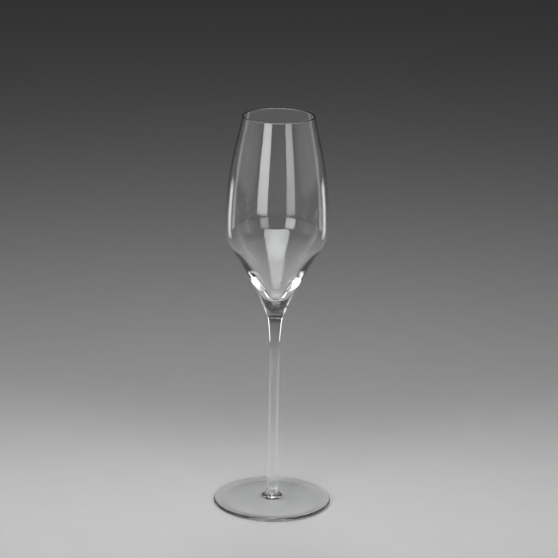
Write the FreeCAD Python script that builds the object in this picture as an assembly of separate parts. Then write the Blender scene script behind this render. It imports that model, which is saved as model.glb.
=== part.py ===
import FreeCAD, Part
import math
import os

# Hand-made champagne flute: a blown bowl, a solid drawn stem and a foot, fused end to end.
# Millimetres and degrees, +Z up. The origin is on the table, under the axis that all three share.
# Slopes are measured from the vertical on the bowl and stem, and from the horizontal on the foot.

# The glass as a whole
HEIGHT = 250.0
RIM_RADIUS = 22.2
BELLY_RADIUS = 32.0
BELLY_HEIGHT = 180.0
STEM_RADIUS = 2.98
FOOT_RADIUS = 37.1

# Outside of the bowl: straight below the rim, barrelled to the belly, then a soft corner onto a
# long flank that hollows out into the stem
RIM_SLOPE = 12.6
SHOULDER_RADIUS = 22.5
SHOULDER_SLOPE = 33.3
FLANK_RADIUS = 265.0
FLANK_END_SLOPE = 23.6
FLARE_RADIUS = 33.6
SEAM_SLOPE = 14.0
FLARE_END_SLOPE = 6.0

# Inside of the bowl: a thin even wall down to the shoulder, over a thick rounded bottom
RIM_WALL = 0.9
BELLY_WALL = 1.2
HOLLOW_BOTTOM_HEIGHT = 135.0
HOLLOW_BOTTOM_RADIUS = 7.5

# Stem: an even rod that swells a little above the foot
SWELL_RADIUS = 3.5
SWELL_TOP_HEIGHT = 54.0
SWELL_BOTTOM_HEIGHT = 22.0

# Foot: a shallow cone with a rounded edge, over a hollow inside the flat ring that it stands on
FOOT_EDGE_THICKNESS = 2.2
FOOT_SLOPE = 4.2
FOOT_RISE_RADIUS = 40.0
FOOT_RISE_SLOPE = 10.0
FOOT_FILLET_RADIUS = 4.2
REST_RING_INNER_RADIUS = 30.0
UNDERSIDE_HOLLOW = 1.5

# Fused seams: each upper piece ends in a shallow dome, which sits in a dish of the piece below
BOWL_SEAM_DEPTH = 1.2
STEM_SEAM_DEPTH = 0.8


def sin(degrees):
    return math.sin(math.radians(degrees))


def cos(degrees):
    return math.cos(math.radians(degrees))


def tan(degrees):
    return math.tan(math.radians(degrees))


class Outline:
    """Half of a round piece's section: lines and tangent arcs, each from where the last one ended.

    The heading is in degrees, and 0 points away from the axis, 90 up and -90 down.
    """

    def __init__(self, radius, height, heading=0.0):
        self.radius = radius
        self.height = height
        self.heading = heading
        self.edges = []

    def here(self):
        return FreeCAD.Vector(self.radius, 0, self.height)

    def line_to(self, radius, height):
        start = self.here()
        self.radius = radius
        self.height = height
        self.edges.append(Part.makeLine(start, self.here()))

    def advance(self, bend_radius, turn):
        """Move along an arc and give the point that is reached. A positive turn goes left."""
        side = math.copysign(bend_radius, turn)
        heading = self.heading + turn
        self.radius += side * (sin(heading) - sin(self.heading))
        self.height -= side * (cos(heading) - cos(self.heading))
        self.heading = heading
        return self.here()

    def arc(self, bend_radius, turn):
        start = self.here()
        middle = self.advance(bend_radius, turn / 2)
        end = self.advance(bend_radius, turn / 2)
        self.edges.append(Part.Arc(start, middle, end).toShape())

    def cap(self, edge_radius, edge_height, depth):
        """A spherical cap between the axis and a round edge, which lies depth above its middle."""
        sphere = (edge_radius ** 2 + depth ** 2) / (2 * depth)
        half_angle = math.asin(edge_radius / sphere) / 2
        lowest = FreeCAD.Vector(0, 0, edge_height - depth)
        middle = lowest + FreeCAD.Vector(
            sphere * math.sin(half_angle), 0, sphere * (1 - math.cos(half_angle))
        )
        edge = FreeCAD.Vector(edge_radius, 0, edge_height)
        ends = [lowest, edge] if self.radius == 0 else [edge, lowest]
        self.edges.append(Part.Arc(ends[0], middle, ends[1]).toShape())
        self.radius = ends[1].x
        self.height = ends[1].z

    def turned(self):
        """The solid that the closed outline makes when it is turned about the axis."""
        face = Part.Face(Part.Wire(self.edges))
        return face.revolve(FreeCAD.Vector(0, 0, 0), FreeCAD.Vector(0, 0, 1), 360)


def barrel_radius(belly_radius, rim_radius, rim_height):
    """The arc that leaves the belly upright and turns by the rim slope onto the line to the rim."""
    run = (rim_height - BELLY_HEIGHT) * tan(RIM_SLOPE) - (belly_radius - rim_radius)
    return run / (sin(RIM_SLOPE) * tan(RIM_SLOPE) - (1 - cos(RIM_SLOPE)))


def hollow_slope():
    """The slope of the straight line that touches the inner shoulder and the hollow's round bottom."""
    across = BELLY_RADIUS - SHOULDER_RADIUS
    up = BELLY_HEIGHT - HOLLOW_BOTTOM_HEIGHT - HOLLOW_BOTTOM_RADIUS
    radius_change = SHOULDER_RADIUS - BELLY_WALL - HOLLOW_BOTTOM_RADIUS
    return math.degrees(math.atan2(across, up) + math.asin(radius_change / math.hypot(across, up)))


def bowl_side():
    """The bowl's outside, from the belly down to the seam."""
    side = Outline(BELLY_RADIUS, BELLY_HEIGHT, heading=-90)
    side.arc(SHOULDER_RADIUS, -SHOULDER_SLOPE)
    side.arc(FLANK_RADIUS, SHOULDER_SLOPE - FLANK_END_SLOPE)
    side.arc(FLARE_RADIUS, FLANK_END_SLOPE - SEAM_SLOPE)
    return side


def make_bowl(seam):
    """A thin blown cup, thickening below its hollow to the solid end that is fused to the stem."""
    lip = RIM_WALL / 2
    lip_height = HEIGHT - lip
    inner_rim = RIM_RADIUS - RIM_WALL
    inner_belly = BELLY_RADIUS - BELLY_WALL
    outer_barrel = barrel_radius(BELLY_RADIUS, RIM_RADIUS, lip_height)
    inner_barrel = barrel_radius(inner_belly, inner_rim, lip_height)
    slope = hollow_slope()

    outline = Outline(0, seam.height - BOWL_SEAM_DEPTH)
    outline.cap(seam.radius, seam.height, BOWL_SEAM_DEPTH)
    outline.edges += reversed(seam.edges)
    outline.radius = BELLY_RADIUS
    outline.height = BELLY_HEIGHT
    outline.heading = 90
    outline.arc(outer_barrel, RIM_SLOPE)
    outline.line_to(RIM_RADIUS, lip_height)
    outline.heading = 90
    outline.arc(lip, 180)
    outline.line_to(
        inner_belly - inner_barrel * (1 - cos(RIM_SLOPE)),
        BELLY_HEIGHT + inner_barrel * sin(RIM_SLOPE),
    )
    outline.heading = RIM_SLOPE - 90
    outline.arc(inner_barrel, -RIM_SLOPE)
    outline.arc(SHOULDER_RADIUS - BELLY_WALL, -slope)
    outline.line_to(
        HOLLOW_BOTTOM_RADIUS * cos(slope),
        HOLLOW_BOTTOM_HEIGHT + HOLLOW_BOTTOM_RADIUS * (1 - sin(slope)),
    )
    outline.arc(HOLLOW_BOTTOM_RADIUS, slope - 90)
    outline.line_to(0, seam.height - BOWL_SEAM_DEPTH)
    return outline.turned()


def make_stem(bowl_seam, foot_seam):
    """A solid rod, flared at the top to meet the bowl and a little swollen above the foot."""
    outline = Outline(0, bowl_seam.height - BOWL_SEAM_DEPTH)
    outline.cap(bowl_seam.radius, bowl_seam.height, BOWL_SEAM_DEPTH)
    outline.heading = bowl_seam.heading
    outline.arc(FLARE_RADIUS, SEAM_SLOPE - FLARE_END_SLOPE)
    taper_radius = (outline.radius - STEM_RADIUS) / (1 - cos(FLARE_END_SLOPE))
    outline.arc(taper_radius, FLARE_END_SLOPE)
    outline.line_to(STEM_RADIUS, SWELL_TOP_HEIGHT)
    half_growth = (SWELL_RADIUS - STEM_RADIUS) / 2
    half_length = (SWELL_TOP_HEIGHT - SWELL_BOTTOM_HEIGHT) / 2
    swell_bend = (half_growth ** 2 + half_length ** 2) / (2 * half_growth)
    swell_turn = math.degrees(math.asin(half_length / swell_bend))
    outline.arc(swell_bend, swell_turn)
    outline.arc(swell_bend, -swell_turn)
    outline.line_to(foot_seam.radius, foot_seam.height)
    outline.cap(foot_seam.radius, foot_seam.height, STEM_SEAM_DEPTH)
    outline.line_to(0, bowl_seam.height - BOWL_SEAM_DEPTH)
    return outline.turned()


def foot_top():
    """The foot's upper side, from the top of its rounded edge in to the seam."""
    edge = FOOT_EDGE_THICKNESS / 2
    rise = FOOT_RISE_RADIUS * (sin(FOOT_RISE_SLOPE) - sin(FOOT_SLOPE))
    fillet = FOOT_FILLET_RADIUS * (1 - sin(FOOT_RISE_SLOPE))
    cone_end = SWELL_RADIUS + fillet + rise
    top = Outline(FOOT_RADIUS - edge * (1 - sin(FOOT_SLOPE)), edge * (1 + cos(FOOT_SLOPE)))
    top.line_to(cone_end, top.height + (top.radius - cone_end) * tan(FOOT_SLOPE))
    top.heading = 180 - FOOT_SLOPE
    top.arc(FOOT_RISE_RADIUS, FOOT_SLOPE - FOOT_RISE_SLOPE)
    top.arc(FOOT_FILLET_RADIUS, FOOT_RISE_SLOPE - 90)
    return top


def make_foot(seam):
    """A thin round foot, hollow underneath, that rises to a dish for the end of the stem."""
    edge = FOOT_EDGE_THICKNESS / 2
    outline = Outline(0, UNDERSIDE_HOLLOW)
    outline.cap(REST_RING_INNER_RADIUS, 0, -UNDERSIDE_HOLLOW)
    outline.line_to(FOOT_RADIUS - edge, 0)
    outline.heading = 0
    outline.arc(edge, 180 - FOOT_SLOPE)
    outline.edges += seam.edges
    outline.radius = seam.radius
    outline.height = seam.height
    outline.cap(seam.radius, seam.height, STEM_SEAM_DEPTH)
    outline.line_to(0, UNDERSIDE_HOLLOW)
    return outline.turned()


def main():
    bowl_seam = bowl_side()
    foot_seam = foot_top()
    pieces = {
        "bowl": make_bowl(bowl_seam),
        "stem": make_stem(bowl_seam, foot_seam),
        "foot": make_foot(foot_seam),
    }
    os.makedirs("parts", exist_ok=True)
    for name, shape in pieces.items():
        shape.exportStep(f"parts/{name}.step")


main()
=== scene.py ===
"""Looks for a hand-made champagne flute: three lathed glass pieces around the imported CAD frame.

Sizes are in millimetres until a mesh is made, which is in metres. Slopes are in degrees, from the
vertical on the bowl and stem and from the horizontal on the foot, as in the CAD design.
"""

import math

import bpy
from mathutils import Matrix, Vector


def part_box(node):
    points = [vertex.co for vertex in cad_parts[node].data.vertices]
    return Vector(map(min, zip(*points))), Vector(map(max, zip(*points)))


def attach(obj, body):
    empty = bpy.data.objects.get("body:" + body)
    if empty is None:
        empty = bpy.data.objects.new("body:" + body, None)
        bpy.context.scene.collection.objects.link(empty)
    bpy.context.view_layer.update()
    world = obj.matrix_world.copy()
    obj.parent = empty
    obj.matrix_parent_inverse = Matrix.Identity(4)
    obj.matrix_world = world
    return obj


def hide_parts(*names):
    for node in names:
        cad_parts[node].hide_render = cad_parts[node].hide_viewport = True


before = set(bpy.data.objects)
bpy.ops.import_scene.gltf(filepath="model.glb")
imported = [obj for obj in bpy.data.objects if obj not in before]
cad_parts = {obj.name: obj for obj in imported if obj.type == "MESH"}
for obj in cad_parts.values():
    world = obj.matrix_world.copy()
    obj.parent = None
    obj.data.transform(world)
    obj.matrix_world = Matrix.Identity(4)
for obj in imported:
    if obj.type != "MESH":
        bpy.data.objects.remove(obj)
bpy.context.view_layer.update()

MM = 0.001

# ---------------------------------------------------------------- design sizes

BOWL_BOX = [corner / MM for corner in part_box("bowl")]
STEM_BOX = [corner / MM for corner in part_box("stem")]
FOOT_BOX = [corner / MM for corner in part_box("foot")]

HEIGHT = BOWL_BOX[1].z
BELLY_RADIUS = BOWL_BOX[1].x
FOOT_RADIUS = FOOT_BOX[1].x

RIM_RADIUS = 22.2
BELLY_HEIGHT = 180.0
RIM_SLOPE = 12.6
SHOULDER_RADIUS = 22.5
SHOULDER_SLOPE = 33.3
FLANK_RADIUS = 265.0
FLANK_END_SLOPE = 23.6
FLARE_RADIUS = 33.6
SEAM_SLOPE = 14.0
FLARE_END_SLOPE = 6.0
RIM_WALL = 0.9
BELLY_WALL = 1.2
HOLLOW_BOTTOM_HEIGHT = 135.0
HOLLOW_BOTTOM_RADIUS = 7.5

STEM_RADIUS = 2.98
SWELL_RADIUS = 3.5
SWELL_TOP_HEIGHT = 54.0
SWELL_BOTTOM_HEIGHT = 22.0

FOOT_EDGE_THICKNESS = 2.2
FOOT_SLOPE = 4.2
FOOT_RISE_RADIUS = 40.0
FOOT_RISE_SLOPE = 10.0
FOOT_FILLET_RADIUS = 4.2
REST_RING_INNER_RADIUS = 30.0
UNDERSIDE_HOLLOW = 1.5

BOWL_SEAM_DEPTH = 1.2
STEM_SEAM_DEPTH = 0.8

# ---------------------------------------------------------------- mesh and finish

# How finely the lathe and the outlines are divided, in millimetres and degrees, the bend that makes
# an edge sharp, and the radius in millimetres that counts as on the axis
SEGMENTS = 240
COARSE_STEP = 1.3
FINE_STEP = 0.4
ARC_STEP = 6.0
SHARP_ANGLE = 30.0
ON_AXIS = 1e-6

# Rings left by the blower's tools, just above the foot and on the bowl's cone: the heights they lie
# between, how far they push each surface, and their rates in radians per millimetre of height
RIPPLED_STRETCHES = [(10.0, 25.0), (139.0, 174.0)]
INNER_RIPPLE = 0.022
OUTER_RIPPLE = 0.008
STEM_RIPPLE = 0.018
RIPPLE_FADE_POWER = 0.7
FINE_RING_RATE = 3.6
COARSE_RING_RATE = 2.3
COARSE_RING_SHARE = 0.6

GLASS_IOR = 1.52

# What a run of an outline belongs to, which sets its ripple and its material
FUSED = "fused"
INSIDE = "inside"
OUTSIDE = "outside"
DRAWN = "drawn"


def sin(degrees):
    return math.sin(math.radians(degrees))


def cos(degrees):
    return math.cos(math.radians(degrees))


def tan(degrees):
    return math.tan(math.radians(degrees))


class Outline:
    """Half of a round piece's section, as points along lines and tangent arcs.

    A point is (radius, height, side), and its side says what the run that ends there belongs to.
    """

    def __init__(self, radius, height, heading=0.0, side=OUTSIDE):
        self.radius = radius
        self.height = height
        self.heading = heading
        self.side = side
        self.points = [(radius, height, side)]

    def move(self, radius, height):
        self.radius = radius
        self.height = height
        self.points.append((radius, height, self.side))

    def line_to(self, radius, height, step=COARSE_STEP):
        start_radius, start_height = self.radius, self.height
        count = math.ceil(math.hypot(radius - start_radius, height - start_height) / step)
        for i in range(1, count + 1):
            part = i / count
            self.move(
                start_radius + (radius - start_radius) * part,
                start_height + (height - start_height) * part,
            )

    def arc(self, bend_radius, turn, step=COARSE_STEP):
        """A tangent arc. A positive turn goes to the left of the heading."""
        side = math.copysign(bend_radius, turn)
        start_radius, start_height, start = self.radius, self.height, self.heading
        length = bend_radius * math.radians(abs(turn))
        count = math.ceil(max(length / step, abs(turn) / ARC_STEP))
        for i in range(1, count + 1):
            heading = start + turn * i / count
            self.move(
                start_radius + side * (sin(heading) - sin(start)),
                start_height - side * (cos(heading) - cos(start)),
            )
        self.heading = start + turn

    def cap(self, edge_radius, edge_height, depth):
        """A spherical cap between the axis and a round edge, which lies depth above its middle."""
        sphere = (edge_radius**2 + depth**2) / (2 * depth)
        edge_angle = math.asin(edge_radius / sphere)
        count = math.ceil(edge_radius / COARSE_STEP)
        parts = [i / count for i in range(1, count + 1)]
        if self.radius > 0:
            parts = [1 - part for part in parts]
        for part in parts:
            angle = edge_angle * part
            self.move(sphere * math.sin(angle), edge_height - depth + sphere * (1 - math.cos(angle)))

    def follow(self, other, backwards=False):
        """Take over the points of another outline that starts, or ends, where this one is."""
        points = other.points[::-1] if backwards else other.points
        for radius, height, _ in points[1:]:
            self.move(radius, height)


# ---------------------------------------------------------------- outlines of the three pieces


def barrel_radius(belly_radius, rim_radius, rim_height):
    """The arc that leaves the belly upright and turns by the rim slope onto the line to the rim."""
    run = (rim_height - BELLY_HEIGHT) * tan(RIM_SLOPE) - (belly_radius - rim_radius)
    return run / (sin(RIM_SLOPE) * tan(RIM_SLOPE) - (1 - cos(RIM_SLOPE)))


def hollow_slope():
    """The slope of the straight line that touches the inner shoulder and the hollow's round bottom."""
    across = BELLY_RADIUS - SHOULDER_RADIUS
    up = BELLY_HEIGHT - HOLLOW_BOTTOM_HEIGHT - HOLLOW_BOTTOM_RADIUS
    radius_change = SHOULDER_RADIUS - BELLY_WALL - HOLLOW_BOTTOM_RADIUS
    return math.degrees(math.atan2(across, up) + math.asin(radius_change / math.hypot(across, up)))


def bowl_side():
    """The bowl's outside, from the belly down to the seam."""
    side = Outline(BELLY_RADIUS, BELLY_HEIGHT, heading=-90)
    side.arc(SHOULDER_RADIUS, -SHOULDER_SLOPE)
    side.arc(FLANK_RADIUS, SHOULDER_SLOPE - FLANK_END_SLOPE, step=FINE_STEP)
    side.arc(FLARE_RADIUS, FLANK_END_SLOPE - SEAM_SLOPE, step=FINE_STEP)
    return side


def bowl_outline(seam):
    lip = RIM_WALL / 2
    lip_height = HEIGHT - lip
    inner_rim = RIM_RADIUS - RIM_WALL
    inner_belly = BELLY_RADIUS - BELLY_WALL
    inner_barrel = barrel_radius(inner_belly, inner_rim, lip_height)
    slope = hollow_slope()

    outline = Outline(0, seam.height - BOWL_SEAM_DEPTH, side=FUSED)
    outline.cap(seam.radius, seam.height, BOWL_SEAM_DEPTH)
    outline.side = OUTSIDE
    outline.follow(seam, backwards=True)
    outline.heading = 90
    outline.arc(barrel_radius(BELLY_RADIUS, RIM_RADIUS, lip_height), RIM_SLOPE)
    outline.line_to(RIM_RADIUS, lip_height)
    outline.heading = 90
    outline.arc(lip, 180)
    outline.side = INSIDE
    outline.line_to(
        inner_belly - inner_barrel * (1 - cos(RIM_SLOPE)),
        BELLY_HEIGHT + inner_barrel * sin(RIM_SLOPE),
    )
    outline.heading = RIM_SLOPE - 90
    outline.arc(inner_barrel, -RIM_SLOPE)
    outline.arc(SHOULDER_RADIUS - BELLY_WALL, -slope)
    outline.line_to(
        HOLLOW_BOTTOM_RADIUS * cos(slope),
        HOLLOW_BOTTOM_HEIGHT + HOLLOW_BOTTOM_RADIUS * (1 - sin(slope)),
        step=FINE_STEP,
    )
    outline.arc(HOLLOW_BOTTOM_RADIUS, slope - 90, step=FINE_STEP)
    return outline


def stem_side(bowl_seam, foot_seam):
    """The stem's outside, from the bowl's seam down to the foot's seam."""
    side = Outline(bowl_seam.radius, bowl_seam.height, heading=bowl_seam.heading)
    side.arc(FLARE_RADIUS, SEAM_SLOPE - FLARE_END_SLOPE, step=FINE_STEP)
    side.arc((side.radius - STEM_RADIUS) / (1 - cos(FLARE_END_SLOPE)), FLARE_END_SLOPE)
    side.line_to(STEM_RADIUS, SWELL_TOP_HEIGHT)
    half_growth = (SWELL_RADIUS - STEM_RADIUS) / 2
    half_length = (SWELL_TOP_HEIGHT - SWELL_BOTTOM_HEIGHT) / 2
    swell_bend = (half_growth**2 + half_length**2) / (2 * half_growth)
    swell_turn = math.degrees(math.asin(half_length / swell_bend))
    side.arc(swell_bend, swell_turn, step=FINE_STEP)
    side.arc(swell_bend, -swell_turn, step=FINE_STEP)
    side.line_to(foot_seam.radius, foot_seam.height, step=FINE_STEP)
    return side


def stem_outline(bowl_seam, foot_seam):
    side = stem_side(bowl_seam, foot_seam)
    outline = Outline(0, foot_seam.height - STEM_SEAM_DEPTH, side=FUSED)
    outline.cap(foot_seam.radius, foot_seam.height, STEM_SEAM_DEPTH)
    outline.side = DRAWN
    outline.follow(side, backwards=True)
    outline.side = FUSED
    outline.cap(bowl_seam.radius, bowl_seam.height, BOWL_SEAM_DEPTH)
    return outline


def foot_top():
    """The foot's upper side, from the top of its rounded edge in to the seam."""
    edge = FOOT_EDGE_THICKNESS / 2
    rise = FOOT_RISE_RADIUS * (sin(FOOT_RISE_SLOPE) - sin(FOOT_SLOPE))
    fillet = FOOT_FILLET_RADIUS * (1 - sin(FOOT_RISE_SLOPE))
    cone_end = SWELL_RADIUS + fillet + rise
    top = Outline(FOOT_RADIUS - edge * (1 - sin(FOOT_SLOPE)), edge * (1 + cos(FOOT_SLOPE)))
    top.line_to(cone_end, top.height + (top.radius - cone_end) * tan(FOOT_SLOPE))
    top.heading = 180 - FOOT_SLOPE
    top.arc(FOOT_RISE_RADIUS, FOOT_SLOPE - FOOT_RISE_SLOPE)
    top.arc(FOOT_FILLET_RADIUS, FOOT_RISE_SLOPE - 90, step=FINE_STEP)
    return top


def foot_outline(seam):
    edge = FOOT_EDGE_THICKNESS / 2
    outline = Outline(0, UNDERSIDE_HOLLOW)
    outline.cap(REST_RING_INNER_RADIUS, 0, -UNDERSIDE_HOLLOW)
    outline.line_to(FOOT_RADIUS - edge, 0)
    outline.heading = 0
    outline.arc(edge, 180 - FOOT_SLOPE, step=FINE_STEP)
    outline.follow(seam)
    outline.side = FUSED
    outline.cap(seam.radius, seam.height, STEM_SEAM_DEPTH)
    return outline


# ---------------------------------------------------------------- lathed meshes


def ripple_fade(height):
    """How strong the rings are at a height: full in the middle of each worked stretch, none outside."""
    for bottom, top in RIPPLED_STRETCHES:
        if bottom < height < top:
            part = (height - bottom) / (top - bottom)
            return math.sin(math.pi * part) ** RIPPLE_FADE_POWER
    return 0.0


def blown_ripple(height, angle):
    """Faint uneven rings that the tools leave on the hot glass, from -1 to 1."""
    fade = ripple_fade(height)
    if fade == 0.0:
        return 0.0
    drift = 0.9 * math.sin(2 * angle + 0.6) + 0.6 * math.sin(5 * angle + 2.1)
    fine = math.sin(FINE_RING_RATE * height + drift)
    coarse = math.sin(COARSE_RING_RATE * height - 1.3 * drift)
    rings = (fine + COARSE_RING_SHARE * coarse) / (1 + COARSE_RING_SHARE)
    patches = 0.65 + 0.35 * math.sin(3 * angle + 0.23 * height)
    return fade * patches * rings


def ripple_size(side):
    return {INSIDE: INNER_RIPPLE, OUTSIDE: OUTER_RIPPLE, DRAWN: STEM_RIPPLE, FUSED: 0.0}[side]


def lathe(name, outline, glass, fused):
    """A closed mesh: the outline turned about the axis, with its fused ends in their own material."""
    verts = []
    rings = []
    for radius, height, side in outline.points:
        if radius < ON_AXIS:
            rings.append([len(verts)] * SEGMENTS)
            verts.append((0, 0, height * MM))
            continue
        rings.append(list(range(len(verts), len(verts) + SEGMENTS)))
        for j in range(SEGMENTS):
            angle = 2 * math.pi * j / SEGMENTS
            push = ripple_size(side) * blown_ripple(height, angle)
            reach = (radius + push) * MM
            verts.append((reach * math.cos(angle), reach * math.sin(angle), height * MM))

    faces = []
    slots = []
    for i in range(len(rings) - 1):
        here, there = rings[i], rings[i + 1]
        slot = 1 if outline.points[i + 1][2] == FUSED else 0
        for j in range(SEGMENTS):
            k = (j + 1) % SEGMENTS
            corners = (here[j], here[k], there[k], there[j])
            faces.append(tuple(dict.fromkeys(corners)))
            slots.append(slot)

    mesh = bpy.data.meshes.new(name)
    mesh.from_pydata(verts, [], faces)
    mesh.materials.append(glass)
    mesh.materials.append(fused)
    mesh.polygons.foreach_set("material_index", slots)
    mesh.polygons.foreach_set("use_smooth", [True] * len(faces))
    mesh.update()
    mesh.set_sharp_from_angle(angle=math.radians(SHARP_ANGLE))
    piece = bpy.data.objects.new(name, mesh)
    bpy.context.scene.collection.objects.link(piece)
    return piece


# ---------------------------------------------------------------- materials


def new_material(name):
    material = bpy.data.materials.new(name)
    material.use_nodes = True
    tree = material.node_tree
    return material, tree, tree.nodes["Principled BSDF"]


def clear_glass(name, wave_scale, wave_strength, haze):
    """Fire-polished clear glass: faint flow waves in the skin, and a breath of haze from wiping."""
    material, tree, glass = new_material(name)
    nodes, links = tree.nodes, tree.links
    glass.inputs["Base Color"].default_value = (0.985, 0.992, 0.990, 1.0)
    glass.inputs["IOR"].default_value = GLASS_IOR
    glass.inputs["Transmission Weight"].default_value = 1.0

    place = nodes.new("ShaderNodeTexCoord")
    stretch = nodes.new("ShaderNodeMapping")
    stretch.inputs["Scale"].default_value = (1.0, 1.0, 0.35)
    links.new(place.outputs["Object"], stretch.inputs["Vector"])

    smears = nodes.new("ShaderNodeTexNoise")
    smears.inputs["Scale"].default_value = 95.0
    smears.inputs["Detail"].default_value = 4.0
    smears.inputs["Distortion"].default_value = 0.8
    links.new(stretch.outputs["Vector"], smears.inputs["Vector"])
    rough = nodes.new("ShaderNodeMapRange")
    rough.inputs["From Min"].default_value = 0.45
    rough.inputs["From Max"].default_value = 0.75
    rough.inputs["To Min"].default_value = 0.0
    rough.inputs["To Max"].default_value = haze
    links.new(smears.outputs["Fac"], rough.inputs["Value"])
    links.new(rough.outputs["Result"], glass.inputs["Roughness"])

    waves = nodes.new("ShaderNodeTexNoise")
    waves.inputs["Scale"].default_value = wave_scale
    waves.inputs["Detail"].default_value = 1.0
    links.new(stretch.outputs["Vector"], waves.inputs["Vector"])
    bump = nodes.new("ShaderNodeBump")
    bump.inputs["Strength"].default_value = wave_strength
    bump.inputs["Distance"].default_value = 0.0002
    links.new(waves.outputs["Fac"], bump.inputs["Height"])
    links.new(bump.outputs["Normal"], glass.inputs["Normal"])
    return material


def fused_glass():
    """The seam inside the glass, where two pieces have become one and nothing shows."""
    material, _, seam = new_material("fused_seam")
    seam.inputs["Alpha"].default_value = 0.0
    return material


def floor_material():
    """Pale matt board with a faint tooth."""
    material, tree, board = new_material("pale_board")
    nodes, links = tree.nodes, tree.links
    place = nodes.new("ShaderNodeTexCoord")
    grain = nodes.new("ShaderNodeTexNoise")
    grain.inputs["Scale"].default_value = 40.0
    grain.inputs["Detail"].default_value = 3.0
    tone = nodes.new("ShaderNodeMix")
    tone.data_type = "RGBA"
    tone.inputs["A"].default_value = (0.60, 0.60, 0.60, 1.0)
    tone.inputs["B"].default_value = (0.64, 0.64, 0.64, 1.0)
    links.new(place.outputs["Object"], grain.inputs["Vector"])
    links.new(grain.outputs["Fac"], tone.inputs["Factor"])
    links.new(tone.outputs["Result"], board.inputs["Base Color"])
    board.inputs["Roughness"].default_value = 0.75
    return material


# ---------------------------------------------------------------- the flute


def make_flute():
    bowl_seam = bowl_side()
    foot_seam = foot_top()
    outlines = {
        "bowl": bowl_outline(bowl_seam),
        "stem": stem_outline(bowl_seam, foot_seam),
        "foot": foot_outline(foot_seam),
    }
    finishes = {
        "bowl": clear_glass("bowl_glass", wave_scale=40.0, wave_strength=0.10, haze=0.02),
        "stem": clear_glass("stem_glass", wave_scale=60.0, wave_strength=0.10, haze=0.015),
        "foot": clear_glass("foot_glass", wave_scale=45.0, wave_strength=0.15, haze=0.03),
    }
    fused = fused_glass()
    for node, outline in outlines.items():
        piece = lathe(f"{node}_glass", outline, finishes[node], fused)
        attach(piece, "root")
        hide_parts(node)


# ---------------------------------------------------------------- studio


def make_camera():
    """A long lens, a little over the rim, at the photograph's distance, tilt and roll."""
    distance = 1.3766
    height = 0.5515
    pitch = 16.38
    yaw = 0.08
    roll = 1.09
    ahead = Vector((sin(yaw) * cos(pitch), cos(yaw) * cos(pitch), -sin(pitch)))
    level = Vector((cos(yaw), -sin(yaw), 0.0))
    raised = level.cross(ahead)
    right = cos(roll) * level + sin(roll) * raised
    up = cos(roll) * raised - sin(roll) * level
    data = bpy.data.cameras.new("camera")
    data.sensor_width = 36.0
    data.lens = 149.6
    data.clip_start = 0.01
    camera = bpy.data.objects.new("camera", data)
    camera.matrix_world = Matrix.Translation((0.0, -distance, height)) @ Matrix(
        (right, up, -ahead)
    ).transposed().to_4x4()
    bpy.context.scene.collection.objects.link(camera)
    bpy.context.scene.camera = camera


def softbox(name, place, target, width, height, glow, spread):
    """A soft area light, whose glow is its brightness as seen from the target.

    A light keeps its power when its spread is narrowed, so its middle gets brighter by the gain.
    """
    half_spread = math.radians(spread / 2)
    gain = math.tan(half_spread) / (math.tan(half_spread) - half_spread)
    area = width * height
    data = bpy.data.lights.new(name, "AREA")
    data.shape = "RECTANGLE"
    data.size = width
    data.size_y = height
    data.spread = math.radians(spread)
    data.energy = glow * math.pi * area / gain
    light = bpy.data.objects.new(name, data)
    light.location = place
    light.rotation_euler = (Vector(target) - Vector(place)).to_track_quat("-Z", "Y").to_euler()
    light.visible_camera = False
    bpy.context.scene.collection.objects.link(light)


def make_floor():
    """A level board, a hair under the glass so that the two don't lie in one plane."""
    reach = 30.0
    level = -0.0001
    corners = [
        (-reach, -reach, level),
        (reach, -reach, level),
        (reach, reach, level),
        (-reach, reach, level),
    ]
    mesh = bpy.data.meshes.new("floor")
    mesh.from_pydata(corners, [], [(0, 1, 2, 3)])
    mesh.materials.append(floor_material())
    floor = bpy.data.objects.new("floor", mesh)
    bpy.context.scene.collection.objects.link(floor)


def make_lights():
    """Two tall strips and a top box in front, and a wide overhead bar, on a dim surround.

    Broad dim panels stand at the sides, with a small bright kicker behind the glass on each side.
    """
    bowl = (0.0, 0.0, 0.2)
    stem = (0.0, 0.0, 0.1)
    softbox("front_top", (0.0, -0.62, 0.86), (0.0, 0.0, 0.12), 0.96, 0.40, glow=7.0, spread=100)
    softbox("overhead", (0.0, 0.28, 0.68), (0.0, -0.03, 0.0), 1.10, 0.16, glow=12.5, spread=34)
    softbox("left_strip", (-0.40, -0.62, 0.33), bowl, 0.32, 0.48, glow=5.5, spread=100)
    softbox("right_strip", (0.38, -0.65, 0.33), bowl, 0.26, 0.48, glow=3.2, spread=100)
    for side, x in (("left", -1), ("right", 1)):
        softbox(f"{side}_side", (0.80 * x, 0.0, 0.36), bowl, 1.20, 0.44, glow=0.5, spread=120)
        softbox(f"{side}_kicker", (0.34 * x, 0.26, 0.08), stem, 0.10, 0.14, glow=2.6, spread=60)
    dim = 0.03
    world = bpy.data.worlds.new("studio")
    world.use_nodes = True
    world.node_tree.nodes["Background"].inputs["Color"].default_value = (dim, dim, dim, 1.0)
    bpy.context.scene.world = world


def set_render_look():
    scene = bpy.context.scene
    scene.view_settings.view_transform = "Standard"
    scene.cycles.max_bounces = 24
    scene.cycles.transmission_bounces = 24
    scene.cycles.glossy_bounces = 12
    scene.cycles.transparent_max_bounces = 24
    scene.cycles.blur_glossy = 0.0
    scene.cycles.use_denoising = True


make_flute()
make_camera()
make_floor()
make_lights()
set_render_look()
